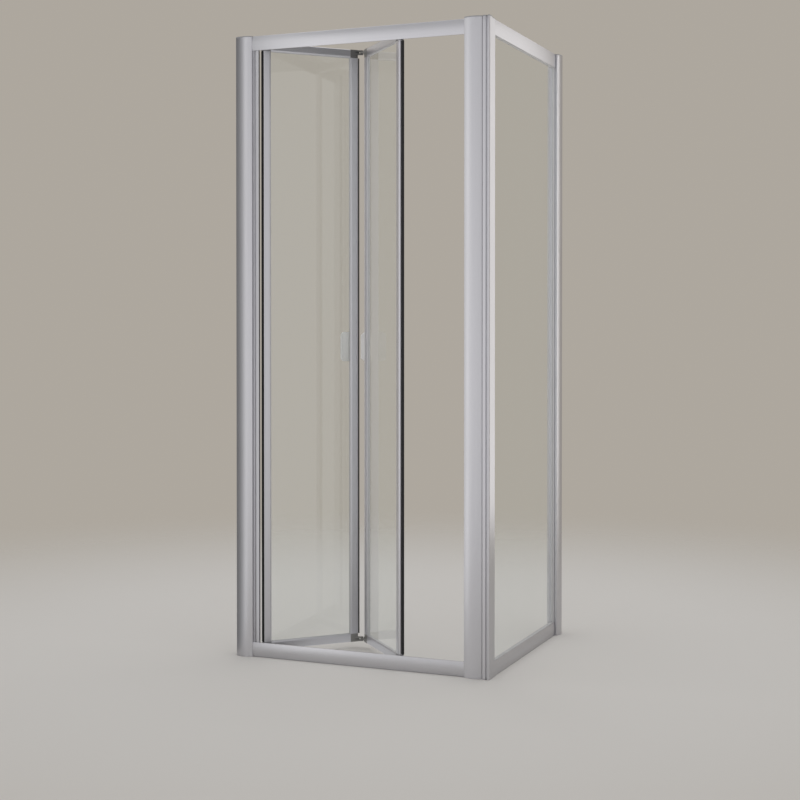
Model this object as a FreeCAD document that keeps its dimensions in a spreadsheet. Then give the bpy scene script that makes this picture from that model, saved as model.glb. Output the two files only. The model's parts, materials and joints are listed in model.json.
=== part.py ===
"""Bifold shower door with its fixed side panel, half open, in millimetres.

+Z is up, the door faces -Y, the left wall is at the lowest X and the rear wall at the highest Y.
The origin is on the floor under the middle of the part.
"""
import FreeCAD
import Part
import Sketcher
import math
import os

V = FreeCAD.Vector
ORIGIN_POINT = (-1, 1)
LEVEL_AXIS = -1
UPRIGHT_AXIS = -2
EDGE_START = 1
EDGE_END = 2
CENTRE = 3
ROUND_SHARE = 1 - math.sqrt(0.5)

doc = FreeCAD.newDocument("bifold_shower_door")
sheet = doc.addObject("Spreadsheet::Sheet", "Sizes")
layout = doc.addObject("App::VarSet", "Layout")
pieces = []


class Dim:
    """A size with its value and the formula that ties it to the sheet."""

    def __init__(self, value, formula):
        self.value = value
        self.formula = formula

    def __add__(self, other):
        return joined(self, "+", other, self.value + as_dim(other).value)

    def __radd__(self, other):
        return as_dim(other) + self

    def __sub__(self, other):
        return joined(self, "-", other, self.value - as_dim(other).value)

    def __rsub__(self, other):
        return as_dim(other) - self

    def __mul__(self, other):
        return joined(self, "*", other, self.value * as_dim(other).value)

    def __rmul__(self, other):
        return as_dim(other) * self

    def __truediv__(self, other):
        return joined(self, "/", other, self.value / as_dim(other).value)

    def __neg__(self):
        return as_dim(0) - self


def as_dim(number):
    """Give a plain number the form of a size."""
    if isinstance(number, Dim):
        return number
    return Dim(float(number), f"{number:.12g}")


def joined(left, sign, right, value):
    """Join two sizes in one formula."""
    return Dim(value, f"({left.formula} {sign} {as_dim(right).formula})")


def cosine(angle):
    return Dim(math.cos(math.radians(angle.value)), f"cos({angle.formula})")


def sine(angle):
    return Dim(math.sin(math.radians(angle.value)), f"sin({angle.formula})")


def size(name, number):
    """Write one driving size in the sheet."""
    row = len(sheet.getUsedCells()) // 2 + 1
    sheet.set(f"A{row}", name)
    sheet.set(f"B{row}", number)
    sheet.setAlias(f"B{row}", name)
    return Dim(float(number), f"Sizes.{name}")


def place(name, dim):
    """Keep a worked-out place or length under a name of its own."""
    layout.addProperty("App::PropertyFloat", name, "Layout")
    layout.setExpression(name, dim.formula)
    return Dim(dim.value, f"Layout.{name}")


# Driving sizes of the frame
rail_top = size("rail_top", "1850")
post_rise = size("post_rise", "4")
overall_depth = size("overall_depth", "695")
opening = size("opening", "672")
jamb_face = size("jamb_face", "53")
jamb_bow = size("jamb_bow", "7")
jamb_depth = size("jamb_depth", "44")
jamb_lip = size("jamb_lip", "14")
channel_leg = size("channel_leg", "40")
channel_skin = size("channel_skin", "2")
slide_gap = size("slide_gap", "0.5")
jamb_hold = size("jamb_hold", "27")
jamb_wall = size("jamb_wall", "2")
jamb_front_wall = size("jamb_front_wall", "8")
pivot_reveal = size("pivot_reveal", "19")
reveal_step = size("reveal_step", "5")
reveal_groove = size("reveal_groove", "5")
reveal_groove_depth = size("reveal_groove_depth", "4.5")
reveal_flange = size("reveal_flange", "7")
jamb_box_reveal = size("jamb_box_reveal", "2")
strike_reveal = size("strike_reveal", "2.5")
magnet_width = size("magnet_width", "10")
magnet_thickness = size("magnet_thickness", "3")
cap_thickness = size("cap_thickness", "3")
corner_depth = size("corner_depth", "23")
corner_set_back = size("corner_set_back", "2")
corner_flat = size("corner_flat", "12.5")
corner_groove = size("corner_groove", "6")
corner_groove_depth = size("corner_groove_depth", "5")
corner_rebate = size("corner_rebate", "3.5")
corner_rebate_depth = size("corner_rebate_depth", "9")
corner_land = size("corner_land", "1.5")
corner_round = size("corner_round", "4")
corner_wall = size("corner_wall", "2")
side_proud = size("side_proud", "12")

# Driving sizes of the rails and their tracks
rail_height = size("rail_height", "43")
rail_bow = size("rail_bow", "2.5")
rail_set_back = size("rail_set_back", "8")
rail_skin = size("rail_skin", "2")
rail_lip = size("rail_lip", "4")
rail_rebate = size("rail_rebate", "2")
rail_rebate_depth = size("rail_rebate_depth", "3")
rail_plate = size("rail_plate", "3")
track_height = size("track_height", "17")
track_half_width = size("track_half_width", "11")
track_skin = size("track_skin", "2")
slot_half_width = size("slot_half_width", "5")
drain_length = size("drain_length", "30")
drain_height = size("drain_height", "4")
drain_spacing = size("drain_spacing", "140")

# Driving sizes of the two leaves
leaf_plane = size("leaf_plane", "30")
leaf_thickness = size("leaf_thickness", "15")
leaf_sight = size("leaf_sight", "25")
leaf_end_gap = size("leaf_end_gap", "2")
leaf_inset = size("leaf_inset", "11")
edge_gap = size("edge_gap", "4")
edge_seal = size("edge_seal", "2")
lead_seal = size("lead_seal", "12")
lead_seal_width = size("lead_seal_width", "5.5")
lead_seal_gap = size("lead_seal_gap", "1")
seal_clear = size("seal_clear", "3")
fold_gap = size("fold_gap", "19.5")
fold_fin = size("fold_fin", "5")
fold_fin_thickness = size("fold_fin_thickness", "3")
leaf_wall = size("leaf_wall", "2")
leaf_round = size("leaf_round", "2.5")
lead_round = size("lead_round", "5")
bead_width = size("bead_width", "4")
bead_drop = size("bead_drop", "1.2")
spigot_length = size("spigot_length", "18")
spigot_gap = size("spigot_gap", "0.2")
rest_angle = size("rest_angle", "47.1")
fold_limit = size("fold_limit", "81")

# Driving sizes of the glazing
glass_thickness = size("glass_thickness", "5")
glass_hold = size("glass_hold", "8")
groove_depth = size("groove_depth", "10")
gasket_thickness = size("gasket_thickness", "3")
gasket_hold = size("gasket_hold", "6")
gasket_show = size("gasket_show", "0.8")
side_thickness = size("side_thickness", "19")
side_set_in = size("side_set_in", "22")
side_stile_width = size("side_stile_width", "25")
side_rail_bow = size("side_rail_bow", "1.5")
side_rear_reveal = size("side_rear_reveal", "3")
side_wall = size("side_wall", "2")

# Driving sizes of the hinges, pivots and guides
hinge_offset = size("hinge_offset", "12")
knuckle_radius = size("knuckle_radius", "4.5")
hinge_pin_radius = size("hinge_pin_radius", "2")
hinge_ear = size("hinge_ear", "14")
hinge_ear_depth = size("hinge_ear_depth", "3")
hinge_nose = size("hinge_nose", "4.5")
knuckle_start = size("knuckle_start", "10")
knuckle_ear = size("knuckle_ear", "4")
knuckle_tongue = size("knuckle_tongue", "5")
knuckle_gap = size("knuckle_gap", "0.3")
running_fit = size("running_fit", "0.05")
pin_radius = size("pin_radius", "3")
pin_collar_radius = size("pin_collar_radius", "4.5")
pin_hold = size("pin_hold", "20")
pin_end_gap = size("pin_end_gap", "1.5")
bearing_gap = size("bearing_gap", "0.1")
block_length = size("block_length", "30")
block_gap = size("block_gap", "0.3")
roller_radius = size("roller_radius", "10.5")
roller_crown = size("roller_crown", "1")
roller_thickness = size("roller_thickness", "8")
roller_gap = size("roller_gap", "0.3")
roller_top_gap = size("roller_top_gap", "2")
roller_flange = size("roller_flange", "1.4")
shoe_length = size("shoe_length", "40")
shoe_gap = size("shoe_gap", "0.5")
stop_length = size("stop_length", "10")
stop_gap = size("stop_gap", "0.5")

# Driving sizes of the handles and the wall fixings
handle_height = size("handle_height", "925")
handle_length = size("handle_length", "90")
handle_thickness = size("handle_thickness", "4")
handle_wing = size("handle_wing", "27")
handle_bevel = size("handle_bevel", "12")
handle_lip = size("handle_lip", "3")
pull_rise = size("pull_rise", "12")
pull_bevel = size("pull_bevel", "10")
wall_hole_radius = size("wall_hole_radius", "3.25")
wall_hole_margin = size("wall_hole_margin", "300")
wall_hole_spacing = size("wall_hole_spacing", "400")
doc.recompute()

# Places across the door, from the left wall to the side panel's crest
corner_width = place("corner_width", corner_flat + corner_groove + corner_land + corner_round)
overall_width = place("overall_width", jamb_face * 2 + opening + corner_width + side_proud)
wall_x = place("wall_x", -overall_width / 2)
edge_x = place("edge_x", wall_x + jamb_face)
strike_edge_x = place("strike_edge_x", edge_x + opening)
corner_x = place("corner_x", strike_edge_x + jamb_face)
side_crest_x = place("side_crest_x", overall_width / 2)
crest_y = place("crest_y", -overall_depth / 2)
rear_y = place("rear_y", overall_depth / 2)
leaf_y = place("leaf_y", crest_y + leaf_plane)

# Places of the fold: the pivot, the hinge half way and the guide pin stay on an isosceles triangle
pivot_x = place("pivot_x", edge_x + pivot_reveal + edge_gap + leaf_inset)
closed_end_x = place("closed_end_x", strike_edge_x - strike_reveal - lead_seal_gap - lead_seal)
closed_lead_x = place("closed_lead_x", closed_end_x - leaf_inset)
half_span = place("half_span", (closed_lead_x - pivot_x) / 2)
lead_x = place("lead_x", pivot_x + 2 * (half_span * cosine(rest_angle) + hinge_offset * sine(rest_angle)))
folded_lead_x = place(
    "folded_lead_x", pivot_x + 2 * (half_span * cosine(fold_limit) + hinge_offset * sine(fold_limit)))

# Heights of the leaves and their openings
leaf_bottom = place("leaf_bottom", track_height + leaf_end_gap)
leaf_top = place("leaf_top", rail_top - leaf_bottom)
sight_bottom = place("sight_bottom", leaf_bottom + leaf_sight)
sight_top = place("sight_top", leaf_top - leaf_sight)
post_top = place("post_top", rail_top + post_rise)

# Marks along a leaf, from its pivot or guide pin to the fold
groove_width = place("groove_width", glass_thickness + 2 * gasket_thickness)
fold_end = place("fold_end", half_span - fold_gap / 2)
outer_sight = place("outer_sight", leaf_sight - leaf_inset)
fold_sight = place("fold_sight", fold_end - leaf_sight)

# Marks across a leaf, from its outer face to its inner face
leaf_half = leaf_thickness / 2
seal_far = place("seal_far", leaf_half - leaf_round)
seal_near = place("seal_near", seal_far - lead_seal_width)

# Marks of the jambs, behind the crest of their channel
jamb_front = place("jamb_front", jamb_lip + slide_gap)
jamb_back = place("jamb_back", jamb_depth - channel_skin - slide_gap)
jamb_inner = place("jamb_inner", jamb_face - jamb_hold)


class Bow:
    """A point that the arc between its two neighbouring corners passes through."""

    def __init__(self, across, along):
        self.spot = (across, along)


class Ring:
    """A round outline."""

    def __init__(self, across, along, radius):
        self.spot = (across, along)
        self.radius = radius


class Seat:
    """Where a piece's own axes stand in the part."""

    def __init__(self, x=0, y=0, z=0, angle=0, axis=V(0, 0, 1)):
        self.marks = (as_dim(x), as_dim(y), as_dim(z))
        self.angle = as_dim(angle)
        self.axis = axis

    def hold(self, piece):
        """Tie a piece's Placement to this seat."""
        base = V(*[mark.value for mark in self.marks])
        piece.Placement = FreeCAD.Placement(base, FreeCAD.Rotation(self.axis, self.angle.value))
        for letter, mark in zip("xyz", self.marks):
            piece.setExpression(f"Placement.Base.{letter}", mark.formula)
        piece.setExpression("Placement.Rotation.Angle", self.angle.formula)


def spot_vector(spot):
    return V(as_dim(spot[0]).value, as_dim(spot[1]).value, 0)


def tie(drawing, edge, end, spot):
    """Tie one point of a drawing to its two coordinates."""
    for kind, axis, mark in (("DistanceX", UPRIGHT_AXIS, spot[0]), ("DistanceY", LEVEL_AXIS, spot[1])):
        mark = as_dim(mark)
        if mark.formula == "0":
            drawing.addConstraint(Sketcher.Constraint("PointOnObject", edge, end, axis))
        else:
            row = drawing.addConstraint(Sketcher.Constraint(kind, *ORIGIN_POINT, edge, end, mark.value))
            drawing.setExpression(f"Constraints[{row}]", mark.formula)


def draw_line(drawing, start, finish):
    edge = drawing.addGeometry(Part.LineSegment(spot_vector(start), spot_vector(finish)), False)
    return edge, EDGE_START, EDGE_END


def draw_arc(drawing, start, bow, finish):
    """Draw an arc through three points; it always runs anticlockwise in the drawing."""
    first, middle, last = spot_vector(start), spot_vector(bow.spot), spot_vector(finish)
    circle = Part.Arc(first, middle, last).toShape().Curve
    centre = circle.Center
    anticlockwise = (middle - first).cross(last - middle).z > 0
    ends = (first, last) if anticlockwise else (last, first)
    angles = [math.atan2(end.y - centre.y, end.x - centre.x) for end in ends]
    round_line = Part.Circle(centre, V(0, 0, 1), circle.Radius)
    edge = drawing.addGeometry(Part.ArcOfCircle(round_line, angles[0], angles[1]), False)
    mark = drawing.addGeometry(Part.Point(middle), True)
    tie(drawing, mark, EDGE_START, bow.spot)
    drawing.addConstraint(Sketcher.Constraint("PointOnObject", mark, EDGE_START, edge))
    return (edge, EDGE_START, EDGE_END) if anticlockwise else (edge, EDGE_END, EDGE_START)


def draw(drawing, outline):
    """Draw one closed outline with every corner tied to the sheet."""
    if isinstance(outline, Ring):
        edge = drawing.addGeometry(Part.Circle(spot_vector(outline.spot), V(0, 0, 1), outline.radius.value))
        tie(drawing, edge, CENTRE, outline.spot)
        row = drawing.addConstraint(Sketcher.Constraint("Radius", edge, outline.radius.value))
        drawing.setExpression(f"Constraints[{row}]", outline.radius.formula)
        return
    runs = []
    corners = []
    for index, spot in enumerate(outline):
        if isinstance(spot, Bow):
            continue
        corners.append(spot)
        after = outline[(index + 1) % len(outline)]
        if isinstance(after, Bow):
            runs.append(draw_arc(drawing, spot, after, outline[(index + 2) % len(outline)]))
        else:
            runs.append(draw_line(drawing, spot, after))
    for (edge, _, end), (following, start, _) in zip(runs, runs[1:] + runs[:1]):
        drawing.addConstraint(Sketcher.Constraint("Coincident", edge, end, following, start))
    for (edge, start, _), corner in zip(runs, corners):
        tie(drawing, edge, start, corner)


def new_body(label, seat):
    """Start a piece of its own."""
    piece = doc.addObject("PartDesign::Body", label)
    piece.Label = label
    seat.hold(piece)
    pieces.append(piece)
    return piece


def new_drawing(piece, plane, outlines, start):
    """Draw outlines on one of the piece's own planes, moved along its normal to the start."""
    drawing = piece.newObject("Sketcher::SketchObject", "Section")
    support = [item for item in piece.Origin.OriginFeatures if item.Role == plane][0]
    drawing.AttachmentSupport = [(support, "")]
    drawing.MapMode = "FlatFace"
    along = -as_dim(start) if plane == "XZ_Plane" else as_dim(start)
    drawing.setExpression("AttachmentOffset.Base.z", along.formula)
    for outline in outlines:
        draw(drawing, outline)
    return drawing


def pad(piece, plane, outlines, start, length):
    """Add the outlines, drawn out from the start along +X, +Y or +Z."""
    feature = piece.newObject("PartDesign::Pad", "Extrusion")
    feature.Profile = new_drawing(piece, plane, outlines, start)
    feature.setExpression("Length", as_dim(length).formula)
    feature.Reversed = plane == "XZ_Plane"
    doc.recompute()


def cut(piece, plane, outlines, start, length):
    """Cut the outlines out of the piece from the start along +X, +Y or +Z."""
    before = piece.Shape.Volume
    feature = piece.newObject("PartDesign::Pocket", "Cut")
    feature.Profile = new_drawing(piece, plane, outlines, start)
    feature.setExpression("Length", as_dim(length).formula)
    feature.Reversed = plane != "XZ_Plane"
    doc.recompute()
    if piece.Shape.Volume >= before:
        raise RuntimeError(f"{piece.Label}: a cut removed nothing")


def upright(label, seat, outlines, bottom, top):
    """Make a section that stands upright."""
    piece = new_body(label, seat)
    pad(piece, "XY_Plane", outlines, bottom, as_dim(top) - bottom)
    return piece


def turned(label, seat, outline):
    """Make a round piece from its half outline of radius and height."""
    piece = new_body(label, seat)
    add_turned(piece, outline)
    return piece


def add_turned(piece, outline):
    feature = piece.newObject("PartDesign::Revolution", "Turning")
    drawing = new_drawing(piece, "XZ_Plane", [outline], 0)
    feature.Profile = drawing
    feature.ReferenceAxis = (drawing, ["V_Axis"])
    feature.Angle = 360
    doc.recompute()


def rectangle(left, low, right, high):
    return [(left, low), (right, low), (right, high), (left, high)]


def channel_outline(way):
    """The bowed channel's C section, from the wall outwards and from its crest backwards."""
    face = jamb_face * way
    web = channel_skin * way
    inner_face = (jamb_face - channel_skin) * way
    middle = jamb_face / 2 * way
    leg = channel_leg * way
    inner_bow = jamb_bow + channel_skin
    return [(0, jamb_bow), Bow(middle, 0), (face, jamb_bow), (face, jamb_lip), (inner_face, jamb_lip),
            (inner_face, inner_bow), Bow(middle, channel_skin), (web, inner_bow),
            (web, jamb_depth - channel_skin), (leg, jamb_depth - channel_skin), (leg, jamb_depth),
            (0, jamb_depth)]


def cap(label, seat, outline, top):
    return upright(label, seat, [outline], top - cap_thickness, top)


def channel_cap_outline(way):
    face = jamb_face * way
    return [(0, jamb_bow), Bow(jamb_face / 2 * way, 0), (face, jamb_bow), (face, jamb_depth), (0, jamb_depth)]


LEFT = Seat(wall_x, crest_y)
STRIKE = Seat(corner_x, crest_y)
REAR = Seat(side_crest_x, rear_y, 0, 90)

# Left wall channel, screwed to the wall through its web
left_channel = upright("left_wall_channel", LEFT, [channel_outline(1)], 0, rail_top - cap_thickness)
wall_hole_depth = place("wall_hole_depth", (jamb_bow + jamb_depth) / 2)
wall_hole_heights = [wall_hole_margin, wall_hole_margin + wall_hole_spacing,
                     rail_top - wall_hole_margin - wall_hole_spacing, rail_top - wall_hole_margin]
wall_holes = [Ring(wall_hole_depth, height, wall_hole_radius) for height in wall_hole_heights]
cut(left_channel, "YZ_Plane", wall_holes, 0, channel_skin)
cap("left_channel_cap", LEFT, channel_cap_outline(1), rail_top)

# Left jamb: a box in the channel and a flange in front, with a shadow groove and a ridge beside the leaf
step_end = jamb_face + reveal_step
groove_end = step_end + reveal_groove
reveal_end = jamb_face + pivot_reveal
box_end = jamb_face + jamb_box_reveal
groove_floor = jamb_front + reveal_groove_depth
flange_back = jamb_front + reveal_flange
left_jamb_outline = [
    (jamb_inner, jamb_front), (step_end, jamb_front), (step_end, groove_floor), (groove_end, groove_floor),
    (groove_end, jamb_front), (reveal_end, jamb_front), (reveal_end, flange_back), (box_end, flange_back),
    (box_end, jamb_back), (jamb_inner, jamb_back)]
left_jamb_hollow = rectangle(jamb_inner + jamb_wall, jamb_front + jamb_front_wall,
                             box_end - jamb_wall, jamb_back - jamb_wall)
jamb_low = track_height
jamb_high = rail_top - track_height
upright("left_jamb", LEFT, [left_jamb_outline, left_jamb_hollow], jamb_low, jamb_high)

# Strike channel and strike jamb, with the magnetic strip let in flush where the lead seal meets it
upright("strike_channel", STRIKE, [channel_outline(-1)], 0, post_top - cap_thickness)
cap("strike_channel_cap", STRIKE, channel_cap_outline(-1), post_top)
strike_face = jamb_face + strike_reveal
magnet_floor = strike_face - magnet_thickness
magnet_middle = leaf_plane + (seal_near + seal_far) / 2
magnet_near = magnet_middle - magnet_width / 2
magnet_far = magnet_middle + magnet_width / 2
strike_jamb_outline = [
    (-jamb_inner, jamb_front), (-strike_face, jamb_front), (-strike_face, magnet_near),
    (-magnet_floor, magnet_near), (-magnet_floor, magnet_far), (-strike_face, magnet_far),
    (-strike_face, jamb_back), (-jamb_inner, jamb_back)]
strike_jamb_hollow = rectangle(-jamb_inner - jamb_wall, jamb_front + jamb_wall,
                               jamb_wall - magnet_floor, jamb_back - jamb_wall)
upright("strike_jamb", STRIKE, [strike_jamb_outline, strike_jamb_hollow], jamb_low, jamb_high)
upright("strike_magnet", STRIKE, [rectangle(-strike_face, magnet_near, -magnet_floor, magnet_far)],
        jamb_low, jamb_high)

# Corner post: a rebate beside the channel, flat front, shadow groove and rounded outer corner
CORNER = Seat(corner_x, crest_y + corner_set_back)
groove_far = corner_flat + corner_groove
corner_front = [
    (0, corner_rebate_depth), (corner_rebate, corner_rebate_depth), (corner_rebate, 0), (corner_flat, 0),
    (corner_flat, corner_groove_depth), (groove_far, corner_groove_depth), (groove_far, 0),
    (corner_width - corner_round, 0),
    Bow(corner_width - corner_round * ROUND_SHARE, corner_round * ROUND_SHARE), (corner_width, corner_round)]
corner_outline = corner_front + [(corner_width, corner_depth), (0, corner_depth)]
corner_hollow = rectangle(corner_rebate + corner_wall, corner_groove_depth + corner_wall,
                          corner_width - corner_wall, corner_depth - corner_wall)
upright("corner_post", CORNER, [corner_outline, corner_hollow], 0, post_top - cap_thickness)
cap("corner_post_cap", CORNER, corner_outline, post_top)


zero = as_dim(0)


def rail_outline(height_of):
    """The rail's section: bowed fascia with a rebate and a lip, plate and guide track, from its outer side."""
    front = rail_set_back + rail_bow
    back = front + rail_skin
    near_web = leaf_plane - track_half_width
    far_web = leaf_plane + track_half_width
    near_slot = leaf_plane - slot_half_width
    far_slot = leaf_plane + slot_half_width
    slot_top = track_height - track_skin
    lip_top = rail_height - rail_skin
    lip_end = front + rail_lip
    rebate = front + rail_rebate_depth
    fascia = [(rebate, zero), (rebate, rail_rebate), (front, rail_rebate),
              Bow(rail_set_back, (rail_rebate + rail_height) / 2), (front, rail_height), (lip_end, rail_height),
              (lip_end, lip_top), (back, lip_top), Bow(rail_set_back + rail_skin, (lip_top + rail_plate) / 2),
              (back, rail_plate)]
    near_side = [(near_web - track_skin, rail_plate), (near_web - track_skin, track_height),
                 (near_slot, track_height), (near_slot, slot_top), (near_web, slot_top), (near_web, rail_plate)]
    far_side = [(far_web, rail_plate), (far_web, slot_top), (far_slot, slot_top), (far_slot, track_height),
                (far_web + track_skin, track_height), (far_web + track_skin, rail_plate)]
    marks = fascia + near_side + far_side + [(jamb_depth, rail_plate), (jamb_depth, zero)]
    outline = []
    for mark in marks:
        if isinstance(mark, Bow):
            outline.append(Bow(mark.spot[0], height_of(mark.spot[1])))
        else:
            outline.append((mark[0], height_of(mark[1])))
    return outline


# Head rail and sill between the two channels, one section turned over for the other
RAILS = Seat(edge_x, crest_y)


def from_top(height):
    return rail_top - height


def from_floor(height):
    return height


head_rail = new_body("head_rail", RAILS)
pad(head_rail, "YZ_Plane", [rail_outline(from_top)], 0, opening)
sill = new_body("sill", RAILS)
pad(sill, "YZ_Plane", [rail_outline(from_floor)], 0, opening)
drains = []
for step in (-1, 0, 1):
    middle = opening / 2 + drain_spacing * step
    drains.append(rectangle(middle - drain_length / 2, rail_plate, middle + drain_length / 2,
                            rail_plate + drain_height))
cut(sill, "XZ_Plane", drains, leaf_plane + track_half_width, track_skin)

# Side panel: stiles and rails about one glass plane, the rear stile sliding in its own wall channel
side_plane = place("side_plane", side_crest_x - side_set_in)
side_front_y = place("side_front_y", crest_y + corner_set_back + corner_depth)
side_sight_y = place("side_sight_y", side_front_y + side_stile_width)
side_rear_y = place("side_rear_y", rear_y - jamb_face - side_rear_reveal)
side_half = side_thickness / 2
groove_half = groove_width / 2
SIDE = Seat(side_plane, 0)


def glazing_mouth(face, way, across=0):
    """Corners of a glazing groove that opens at a face, from the low side to the high side."""
    floor = face - way * groove_depth
    return [(across - groove_half, face), (across - groove_half, floor), (across + groove_half, floor),
            (across + groove_half, face)]


front_stile_outline = [(-side_half, side_front_y), (-side_half, side_sight_y)]
front_stile_outline += glazing_mouth(side_sight_y, 1)
front_stile_outline += [(side_half, side_sight_y), (side_half, side_front_y)]
front_stile_hollow = rectangle(side_wall - side_half, side_front_y + side_wall,
                               side_half - side_wall, side_sight_y - groove_depth - side_wall)
upright("side_front_stile", SIDE, [front_stile_outline, front_stile_hollow], 0, rail_top)


def side_rail(label, height_of, way):
    """A side rail with a bowed outer face and its groove towards the glass."""
    bowed = side_half - side_rail_bow
    sight = height_of(rail_height)
    outline = [(-side_half, height_of(zero)), (-side_half, sight)]
    outline += glazing_mouth(sight, way)
    outline += [(bowed, sight), Bow(side_half, height_of(rail_height / 2)), (bowed, height_of(zero))]
    hollow = rectangle(side_wall - side_half, height_of(side_wall), bowed - side_wall,
                       height_of(rail_height - groove_depth - side_wall))
    piece = new_body(label, SIDE)
    pad(piece, "XZ_Plane", [outline, hollow], side_sight_y, side_rear_y - side_sight_y)


side_rail("side_top_rail", from_top, -1)
side_rail("side_bottom_rail", from_floor, 1)

rear_reveal = jamb_face + side_rear_reveal
rear_groove_floor = rear_reveal - groove_depth
rear_stile_outline = [
    (-jamb_inner, jamb_front), (-rear_reveal, jamb_front), (-rear_reveal, side_set_in - groove_half),
    (-rear_groove_floor, side_set_in - groove_half), (-rear_groove_floor, side_set_in + groove_half),
    (-rear_reveal, side_set_in + groove_half), (-rear_reveal, jamb_back), (-jamb_inner, jamb_back)]
rear_stile_hollow = rectangle(-jamb_inner - jamb_wall, jamb_front + jamb_wall,
                              jamb_wall - rear_groove_floor, jamb_back - jamb_wall)
upright("side_rear_stile", REAR, [rear_stile_outline, rear_stile_hollow], 0, rail_top - cap_thickness)
side_channel = upright("side_wall_channel", REAR, [channel_outline(-1)], 0, rail_top - cap_thickness)
cut(side_channel, "YZ_Plane", wall_holes, -channel_skin, channel_skin)
cap("side_channel_cap", REAR, channel_cap_outline(-1), rail_top)


def pane(label, seat, plane, marks):
    """A glass pane that reaches into the grooves round its sight opening."""
    left, low, right, high = marks
    outline = rectangle(left - glass_hold, low - glass_hold, right + glass_hold, high + glass_hold)
    piece = new_body(label, seat)
    pad(piece, plane, [outline], -glass_thickness / 2, glass_thickness)


def gaskets(label, seat, plane, marks):
    """A glazing gasket on each face of a pane, showing a narrow edge round the sight opening."""
    left, low, right, high = marks
    hidden = rectangle(left - gasket_hold, low - gasket_hold, right + gasket_hold, high + gasket_hold)
    shown = rectangle(left + gasket_show, low + gasket_show, right - gasket_show, high - gasket_show)
    piece = new_body(label, seat)
    for start in (glass_thickness / 2, -glass_thickness / 2 - gasket_thickness):
        pad(piece, plane, [hidden, shown], start, gasket_thickness)


side_marks = (side_sight_y, rail_height, side_rear_y, rail_top - rail_height)
pane("side_glass", SIDE, "YZ_Plane", side_marks)
gaskets("side_gaskets", SIDE, "YZ_Plane", side_marks)


# Pivot blocks and rubber stops in the tracks
TRACK = Seat(0, leaf_y)
track_floor = track_height - track_skin
block_half = track_half_width - block_gap


def in_track(label, seat, spans, low, high, holes=()):
    """Blocks that fill the track's height over the given spans along it."""
    piece = new_body(label, seat)
    for start, finish in spans:
        outline = rectangle(start, -block_half, finish, block_half)
        pad(piece, "XY_Plane", [outline, *holes], low, high - low)
    return piece


head_track_low = rail_top - track_floor
head_track_high = rail_top - rail_plate
PIVOT_POINT = Seat(pivot_x, leaf_y)
pivot_bore = Ring(0, 0, pin_radius + running_fit)
block_span = [(-block_length / 2, block_length / 2)]
in_track("top_pivot_block", PIVOT_POINT, block_span, head_track_low, head_track_high, [pivot_bore])
in_track("bottom_pivot_block", PIVOT_POINT, block_span, rail_plate, track_floor, [pivot_bore])
closed_stop = closed_lead_x + roller_radius + stop_gap
folded_stop = folded_lead_x - roller_radius - stop_gap
stop_spans = [(closed_stop, closed_stop + stop_length), (folded_stop - stop_length, folded_stop)]
in_track("track_stops", TRACK, stop_spans, head_track_low, head_track_high)


class Leaf:
    """One leaf, with its marks counted from its outer pin towards the fold."""

    def __init__(self, name, seat, way, outer_edge, outer_round):
        self.name = name
        self.seat = seat
        self.way = way
        self.outer_edge = outer_edge
        self.outer_round = outer_round

    def facing(self, outline):
        """Turn an outline along the leaf to the side on which its fold lies."""
        turned_outline = []
        for mark in outline:
            if isinstance(mark, Bow):
                turned_outline.append(Bow(mark.spot[0] * self.way, mark.spot[1]))
            else:
                turned_outline.append((as_dim(mark[0]) * self.way, mark[1]))
        return turned_outline

    def span(self, near, far):
        """The start and length, along +X, of a stretch between two marks."""
        return (near if self.way > 0 else -as_dim(far)), as_dim(far) - near


def rounded_end(edge, way, face_round):
    """The two rounded corners of a member's outer edge, on its outer and its inner face."""
    outer = [(edge, face_round - leaf_half),
             Bow(edge + face_round * ROUND_SHARE * way, face_round * ROUND_SHARE - leaf_half),
             (edge + face_round * way, -leaf_half)]
    inner = [(edge + leaf_round * way, leaf_half),
             Bow(edge + leaf_round * ROUND_SHARE * way, leaf_half - leaf_round * ROUND_SHARE),
             (edge, leaf_half - leaf_round)]
    return outer, inner


def member_section(edge, mouth, way, face_round):
    """A hollow stile or rail section, from its outer edge to the bevelled mouth of its glazing groove."""
    floor = mouth - groove_depth * way
    outer, inner = rounded_end(edge, way, face_round)
    groove = [(mouth, -groove_half), (floor, -groove_half), (floor, groove_half), (mouth, groove_half)]
    bead = mouth - bead_width * way
    lip = leaf_half - bead_drop
    outline = outer + [(bead, -leaf_half), (mouth, -lip)] + groove + [(mouth, lip), (bead, leaf_half)] + inner
    hollow = rectangle(edge + leaf_wall * way, leaf_wall - leaf_half,
                       floor - leaf_wall * way, leaf_half - leaf_wall)
    return outline, hollow


def laid_down(outline):
    """Swap an outline's two directions, for a member that lies level."""
    level = []
    for mark in outline:
        if isinstance(mark, Bow):
            level.append(Bow(mark.spot[1], mark.spot[0]))
        else:
            level.append((mark[1], mark[0]))
    return level


def leaf_stile(leaf, label, edge, mouth, way, face_round):
    outline, hollow = member_section(edge, mouth, way, face_round)
    upright(label, leaf.seat, [leaf.facing(outline), leaf.facing(hollow)], sight_bottom, sight_top)


def leaf_rail(leaf, label, edge, mouth, way):
    outline, hollow = member_section(edge, mouth, way, leaf_round)
    piece = new_body(label, leaf.seat)
    start, length = leaf.span(outer_sight, fold_sight)
    pad(piece, "YZ_Plane", [laid_down(outline), laid_down(hollow)], start, length)


class Level:
    """The top or the bottom of a leaf: its outer edge, its sight line and the way from one to the other."""

    def __init__(self, name, edge, sight, way):
        self.name = name
        self.edge = edge
        self.sight = sight
        self.way = way

    def stretch(self, near, far):
        """The low mark and the height between two distances from the sight line, outwards positive."""
        low, high = (near, far) if self.way < 0 else (-far, -near)
        return self.sight + low, far - near


TOP = Level("top", leaf_top, sight_top, -1)
BOTTOM = Level("bottom", leaf_bottom, sight_bottom, 1)


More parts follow.
